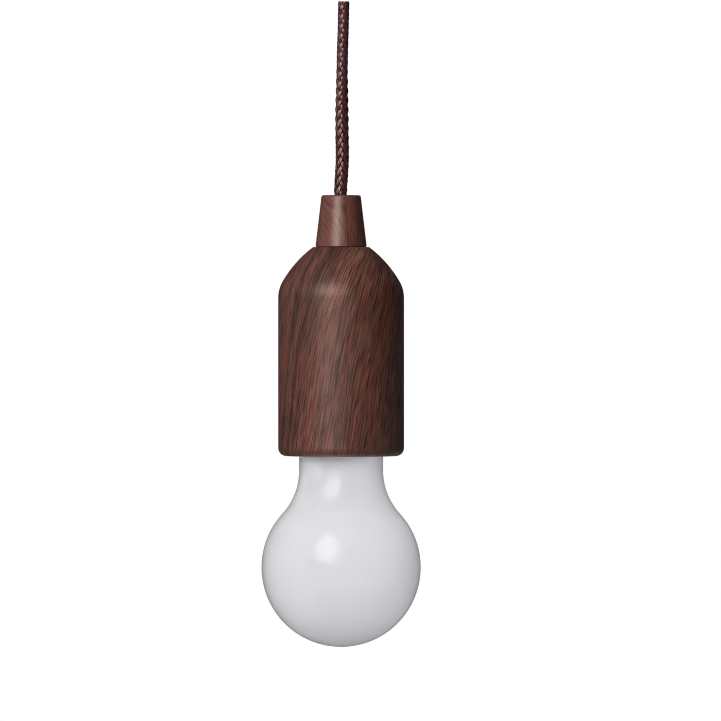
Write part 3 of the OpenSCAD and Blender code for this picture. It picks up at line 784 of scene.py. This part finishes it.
# ---------------------------------------------------------------- coil springs
def coil(start_radius, end_radius, wire_radius, height, turns, segments):
    """Middle line of a coil with closed ends, from z = 0 up, and its outward directions."""
    shut = 2.08 * wire_radius                  # rise of each closed end turn
    open_turns = turns - 2
    pitch = (height - 2 * wire_radius - 2 * shut) / open_turns
    t = np.linspace(0, turns, turns * segments + 1)
    rise = np.where(t < 1, shut * t,
                    np.where(t < turns - 1, shut + pitch * (t - 1),
                             shut + pitch * open_turns + shut * (t - turns + 1)))
    # the wire eases from the closed turns into the open ones
    reach = 9
    kernel = np.exp(-0.5 * (np.arange(-reach, reach + 1) / 4.0) ** 2)
    kernel /= kernel.sum()
    padded = np.pad(rise, reach, mode="reflect", reflect_type="odd")
    rise = np.convolve(padded, kernel, "valid")
    radius = start_radius + (end_radius - start_radius) * t / turns
    angle = 2 * math.pi * t
    outward = np.stack([np.cos(angle), np.sin(angle), np.zeros_like(angle)], -1)
    path = np.stack([radius * np.cos(angle), radius * np.sin(angle), wire_radius + rise], -1)
    return path, outward


def build_return_spring(material):
    """The straight coil on the stem, as long as the CAD spring. The real one shortens as the
    lamp is pulled.
    """
    radius, wire_radius = 5.8, 0.3
    low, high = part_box("return_spring")
    length = high.z - low.z
    path, outward = coil(radius, radius, wire_radius, length / MM, turns=7, segments=48)
    geometry = tube(path * MM + np.array([0, 0, low.z]), wire_radius * MM, sides=14,
                    outward=outward)
    spring = new_object("return_spring_coil", geometry, material, "housing",
                        replaced="return_spring")
    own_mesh(spring)


def build_cell_springs(material):
    """Conical coils: wide end on the contact plate, narrow end against the cell."""
    wire_radius = 0.25
    low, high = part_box("cell_springs")
    parts = []
    for number, cell in enumerate(("battery_cell_a", "battery_cell_c", "battery_cell_b")):
        degrees, upward = CELLS[cell]
        path, outward = coil(3.4, 2.3, wire_radius, height=2.88, turns=4, segments=40)
        if not upward:
            path, outward = path * np.array([1, -1, -1]), outward * np.array([1, -1, 1])
        path = path + np.array([CELL_RING, 0, 0])
        angle = math.radians(degrees)
        cosine, sine = math.cos(angle), math.sin(angle)
        turn = np.array([[cosine, -sine, 0], [sine, cosine, 0], [0, 0, 1]])
        seat_z = low.z if upward else high.z
        parts.append(tube(path @ turn.T * MM + np.array([0, 0, seat_z]), wire_radius * MM,
                          sides=12, outward=outward @ turn.T, number=number))
    new_object("cell_spring_coils", join_parts(parts), material, "battery_cartridge",
               replaced="cell_springs")


build_braid()
build_filler()
drawn_steel = spring_material("spring_wire_drawn", base=(0.50, 0.50, 0.515), rough=0.27)
drawn_nickel = spring_material("spring_wire_nickel", base=(0.68, 0.65, 0.58), rough=0.24)
build_return_spring(drawn_steel)
build_cell_springs(drawn_nickel)

# ---------------------------------------------------------------- finishes on the CAD pieces
wood_housing = wood_material("wood_print_housing", on_housing=True)
wood_cone = wood_material("wood_print_cone", on_housing=False)
opal = opal_material()
ivory = plastic("ivory_moulded", (0.70, 0.675, 0.60), rough=0.42, var=0.05, dirt=0.12,
                subsurface=0.10)
acetal = plastic("acetal_turned", (0.74, 0.74, 0.70), rough=0.36, var=0.04, dirt=0.10,
                 pebble=7.0, subsurface=0.15)
brown = plastic("brown_moulded", (0.050, 0.0230, 0.0170), rough=0.40, var=0.15, dirt=0.15)
black = plastic("black_moulded", (0.020, 0.020, 0.022), rough=0.42, var=0.2, dirt=0.10)
red = plastic("red_moulded", (0.50, 0.025, 0.018), rough=0.30, var=0.1, dirt=0.10, coat=0.2)
white_board = plastic("board_white_mask", (0.80, 0.80, 0.78), rough=0.33, var=0.04,
                      dirt=0.06, pebble=9.0)
green_board = plastic("board_green_mask", (0.020, 0.125, 0.055), rough=0.30, var=0.15,
                      dirt=0.08, pebble=9.0, coat=0.4)
phosphor = plastic("phosphor_gel", (0.80, 0.58, 0.12), rough=0.35, var=0.08, dirt=0.02,
                   pebble=8.0)
steel = metal("spring_wire", (0.50, 0.50, 0.51), rough=0.26, tarnish=0.25,
              grain_scale=(2.5, 2.5, 2.5))
zinc = metal("zinc_plated", (0.66, 0.67, 0.70), rough=0.30, tarnish=0.18,
             grain_scale=(3.0, 3.0, 3.0), dark=(0.30, 0.27, 0.20))
nickel = metal("nickel_strip", (0.70, 0.66, 0.58), rough=0.24, tarnish=0.18,
               grain_scale=(0.6, 6.0, 6.0))
brass = metal("brass_turned", (0.80, 0.56, 0.22), rough=0.28, tarnish=0.30,
              grain_scale=(0.5, 0.5, 9.0), dark=(0.20, 0.10, 0.04))
gold = metal("gold_plated_pad", (0.86, 0.62, 0.26), rough=0.26, tarnish=0.12,
             grain_scale=(5.0, 5.0, 5.0), dark=(0.30, 0.16, 0.06))
red_wire = plastic("wire_red", (0.42, 0.020, 0.015), rough=0.38, var=0.10, dirt=0.10)
black_wire = plastic("wire_black", (0.018, 0.018, 0.018), rough=0.40, var=0.2, dirt=0.10)

FINISH = {
    "cord_cone": wood_cone, "housing_shell": wood_housing, "globe_diffuser": opal,
    "bulb_collar": brown, "pull_stem": acetal, "pull_yoke": acetal, "cord_ferrule": brass,
    "stem_push_nut": steel, "spring_washer": zinc, "stem_bush": ivory,
    "return_spring": steel, "switch_bracket": ivory, "bracket_screws": zinc,
    "switch_case": black, "switch_terminals": nickel, "contact_leaf_battery": nickel,
    "contact_leaf_lamp": nickel, "switch_wire_red": red_wire,
    "switch_wire_black": black_wire, "switch_plunger": red, "battery_holder": ivory,
    "pad_board": green_board, "contact_pads": gold, "cell_contact_positive": nickel,
    "cell_contact_negative": nickel, "link_contact_top": nickel,
    "link_contact_bottom": nickel, "cell_springs": steel, "led_wire": black_wire,
    "led_board": white_board, "led_chips": phosphor, "led_resistor": black,
    "board_screws": zinc, "cord_braid": black_wire, "cord_core": black_wire,
}
for cell, (degrees, positive_up) in CELLS.items():
    FINISH[cell] = cell_material(cell, degrees, positive_up)
for name, node in NODES.items():
    node.data.materials.clear()
    node.data.materials.append(FINISH[name])

# ---------------------------------------------------------------- stage, light and camera
# Sizes and distances in this section are in metres.
AIM_Z = BASE_Z + 33.0 * MM
LIGHT_TARGET = Vector((0, 0, AIM_Z))
LIGHT_DISTANCE = 1.2
CAMERA_TARGET = Vector((6.70 * MM, 0, AIM_Z))
CAMERA_DISTANCE = 3.0
CAMERA_ELEVATION = math.radians(0.4)
VIEW_SIZE = 249.09108 * MM     # long side of the view at the lamp's axis
SENSOR = 36.0                  # mm

scene = bpy.context.scene
scene.view_settings.view_transform = "Standard"
scene.view_settings.look = "None"
scene.view_settings.exposure = 0.0
scene.view_settings.gamma = 1.0
scene.cycles.use_denoising = True
scene.cycles.filter_width = 1.1


def floor_material():
    """White to the camera, grey to the light, and clear from underneath."""
    s = new_shader("pale_floor")
    camera_ray = s.node("ShaderNodeLightPath", output="Is Camera Ray")
    white = s.node("ShaderNodeEmission", {"Color": (1.0, 1.0, 1.0), "Strength": 1.0})
    grey = s.node("ShaderNodeBsdfDiffuse", {"Color": (0.34, 0.34, 0.34)})
    above = s.node("ShaderNodeMixShader", {0: camera_ray, 1: grey, 2: white})
    backfacing = s.node("ShaderNodeNewGeometry", output="Backfacing")
    clear = s.node("ShaderNodeBsdfTransparent")
    return s.finish(s.node("ShaderNodeMixShader", {0: backfacing, 1: above, 2: clear}))


def build_floor():
    """A plain pale floor below the lamp, curving up far behind it."""
    floor_z = BASE_Z - 0.30
    half_width, front_y, bend_y = 6.0, -6.0, 3.0
    bend_radius, bend_steps, wall_height = 1.5, 24, 5.0
    material = floor_material()
    profile = [(front_y, floor_z), (bend_y, floor_z)]
    for i in range(1, bend_steps + 1):
        angle = math.pi / 2 * i / bend_steps
        profile.append((bend_y + bend_radius * math.sin(angle),
                        floor_z + bend_radius - bend_radius * math.cos(angle)))
    profile.append((bend_y + bend_radius, floor_z + wall_height))
    verts = [(x, y, z) for y, z in profile for x in (-half_width, half_width)]
    faces = [(2 * i, 2 * i + 1, 2 * i + 3, 2 * i + 2) for i in range(len(profile) - 1)]
    mesh = bpy.data.meshes.new("floor")
    mesh.from_pydata(verts, [], faces)
    mesh.polygons.foreach_set("use_smooth", [True] * len(mesh.polygons))
    floor = bpy.data.objects.new("floor", mesh)
    scene.collection.objects.link(floor)
    floor.data.materials.append(material)


def build_world():
    """White to the camera. Its light is strongest from the upper left, a little behind."""
    scene.world = bpy.data.worlds.new("studio")
    s = Shader(scene.world, "ShaderNodeOutputWorld")
    bright_side = Vector((-0.85, 0.30, 0.42)).normalized()
    direction = s.node("ShaderNodeTexCoord", output="Generated")
    facing = s.node("ShaderNodeVectorMath", {0: direction, 1: bright_side},
                    output="Value", operation="DOT_PRODUCT")
    strength = s.ease(facing, -0.35, 1.0, 0.012, 0.34)
    seen = s.node("ShaderNodeBackground", {0: (1.0, 1.0, 1.0)})
    lighting = s.node("ShaderNodeBackground", {0: (0.985, 0.985, 1.0), 1: strength})
    camera_ray = s.node("ShaderNodeLightPath", output="Is Camera Ray")
    s.finish(s.node("ShaderNodeMixShader", {0: camera_ray, 1: lighting, 2: seen}))


def soft_box(name, azimuth, elevation, width, height, watts, colour=(1, 1, 1),
             shape="RECTANGLE"):
    """An area light aimed at the lamp.

    azimuth is in degrees from the camera's side, positive to the right.
    """
    light = bpy.data.lights.new(name, "AREA")
    light.shape = shape
    light.size = width
    light.size_y = height
    light.energy = watts
    light.color = colour
    obj = bpy.data.objects.new(name, light)
    scene.collection.objects.link(obj)
    around, up = math.radians(azimuth), math.radians(elevation)
    direction = Vector((math.sin(around) * math.cos(up), -math.cos(around) * math.cos(up),
                        math.sin(up)))
    obj.location = LIGHT_TARGET + direction * LIGHT_DISTANCE
    obj.rotation_mode = "QUATERNION"
    obj.rotation_quaternion = direction.to_track_quat("Z", "Y")
    return obj


def light_group(name, objects):
    group = bpy.data.collections.new(name)
    for obj in objects:
        group.objects.link(obj)
    return group


def light_only(lamp, group):
    lamp.light_linking.receiver_collection = group
    lamp.light_linking.blocker_collection = group


def build_lights():
    soft_box("key", azimuth=-21, elevation=24.5, width=0.80, height=0.90, watts=13.0,
             shape="ELLIPSE")
    # a weak fill from behind at the right keeps the far side open
    fill = soft_box("fill_back", azimuth=158, elevation=22, width=0.80, height=0.80,
                    watts=4.2)
    fill.visible_glossy = False

    # weak cards all round, for the opal globe only: they stand for the light that a real
    # opal shell holds and spreads, so its shaded side and its neck stay open
    globe = light_group("lit_by_cards", [NODES["globe_diffuser"]])
    cards = (                  # name, azimuth, elevation, watts
        ("right", 76, 10, 7.4), ("front", 4, 10, 6.0), ("left", -92, 0, 4.6),
        ("low", 0, -65, 6.6), ("high", 0, 70, 2.8), ("back", 180, 0, 4.4),
    )
    for side, azimuth, elevation, watts in cards:
        card = soft_box("card_" + side, azimuth, elevation, width=0.60, height=0.60,
                        watts=watts, colour=(1.0, 0.982, 1.03))
        card.visible_glossy = False
        light_only(card, globe)

    # one strip for the cord only, which draws bright strands down its left side
    cord = light_group("lit_by_strip", [bpy.data.objects["cord_braid_woven"],
                                        bpy.data.objects["cord_filler_yarns"]])
    strip = soft_box("strip_cord", azimuth=-72, elevation=22, width=0.26, height=0.70,
                     watts=5.0)
    strip.visible_diffuse = False
    light_only(strip, cord)


def build_camera():
    lens = bpy.data.cameras.new("camera")
    lens.sensor_width = SENSOR
    lens.clip_end = 100.0
    lens.lens = SENSOR * CAMERA_DISTANCE / VIEW_SIZE
    camera = bpy.data.objects.new("camera", lens)
    scene.collection.objects.link(camera)
    direction = Vector((0, -math.cos(CAMERA_ELEVATION), math.sin(CAMERA_ELEVATION)))
    camera.location = CAMERA_TARGET + direction * CAMERA_DISTANCE
    camera.rotation_mode = "QUATERNION"
    camera.rotation_quaternion = (camera.location - CAMERA_TARGET).to_track_quat("Z", "Y")
    scene.camera = camera


build_floor()
build_world()
build_lights()
build_camera()
